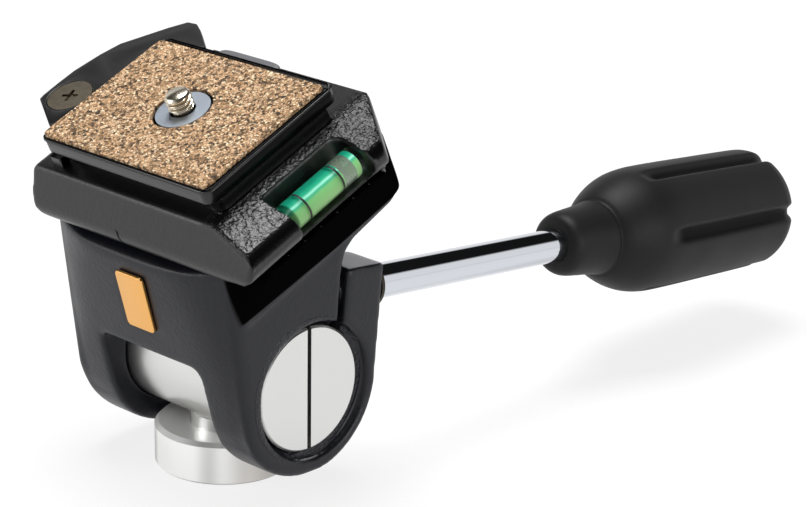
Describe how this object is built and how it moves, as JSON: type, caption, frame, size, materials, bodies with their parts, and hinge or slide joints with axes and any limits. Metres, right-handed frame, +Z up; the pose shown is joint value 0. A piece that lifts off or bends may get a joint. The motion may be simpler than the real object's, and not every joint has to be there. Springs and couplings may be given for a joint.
{
  "type": "two-way pan and tilt tripod head",
  "caption": "Cast yoke head with a clamped tilt barrel, a pan base, a dovetail release plate with a cork pad, a level vial and a long twist handle.",
  "frame": {"origin": "on the pan axis at the base's mounting face", "axes": "+X along the tilt axis towards the barrel's open end, -Y the lens side, +Z up the pan axis; the handle points towards +Y"},
  "size_m": [0.0917, 0.2142, 0.0993],
  "materials": {
    "base_disc": "turned and satin",
    "pan_spindle": "turned",
    "pan_washer": "plain",
    "barrel_front_half": "brushed",
    "barrel_rear_half": "brushed",
    "yoke": "satin fine-grain black enamel",
    "badge_plate": "satin gold",
    "platform": "satin black enamel with a wrinkled shoulder",
    "platform_screws": "blackened",
    "level_vial": "clear",
    "vial_liquid": "clear green",
    "vial_rings": "matt",
    "plate_stop": "moulded",
    "release_lever": "satin black enamel",
    "lever_pivot_screw": "blackened",
    "release_plate": "smooth black",
    "plate_foot": "smooth black",
    "cork_pad": "cork granules",
    "screw_washer": "plain",
    "camera_screw": "machined",
    "thrust_washer": "plain",
    "handle_rod": "polished",
    "grip_core": "matt",
    "handle_grip": "matt"
  },
  "bodies": {
    "base": {"base_disc": "base_disc", "pan_spindle": "pan_spindle", "pan_washer": "pan_washer"},
    "barrel": {"barrel_front_half": "barrel_front_half", "barrel_rear_half": "barrel_rear_half"},
    "yoke": {"yoke": "yoke", "badge_plate": "badge_plate", "platform": "platform", "platform_screws": "platform_screws", "level_vial": "level_vial", "vial_liquid": "vial_liquid", "vial_rings": "vial_rings", "plate_stop": "plate_stop", "lever_pivot_screw": "lever_pivot_screw"},
    "lever": {"release_lever": "release_lever"},
    "plate": {"release_plate": "release_plate", "plate_foot": "plate_foot", "cork_pad": "cork_pad", "screw_washer": "screw_washer"},
    "camera_screw": {"camera_screw": "camera_screw"},
    "handle": {"thrust_washer": "thrust_washer", "handle_rod": "handle_rod", "grip_core": "grip_core", "handle_grip": "handle_grip"}
  },
  "joints": [
    {"name": "pan", "type": "hinge", "parent": "base", "child": "barrel", "pos_m": [0, 0, 0.02], "axis": [0, 0, 1], "continuous": true},
    {"name": "tilt", "type": "hinge", "parent": "barrel", "child": "yoke", "pos_m": [0, 0, 0.0265], "axis": [1, 0, 0], "range_deg": [-59, 61]},
    {"name": "lever_swing", "type": "hinge", "parent": "yoke", "child": "lever", "pos_m": [-0.0405, -0.01235, 0.08449], "axis": [0, -0.4067, 0.9135], "range_deg": [0, 62]},
    {"name": "plate_slide", "type": "slide", "parent": "yoke", "child": "plate", "axis": [0, -0.9135, -0.4067], "range_m": [0, 0.045]},
    {"name": "screw_turn", "type": "hinge", "parent": "plate", "child": "camera_screw", "pos_m": [0.0011, -0.01152, 0.08705], "axis": [0, -0.4067, 0.9135], "continuous": true},
    {"name": "handle_twist", "type": "hinge", "parent": "yoke", "child": "handle", "pos_m": [0.02385, 0.00201, 0.0474], "axis": [0, 0.9954, -0.0958], "range_deg": [-150, 0]}
  ]
}
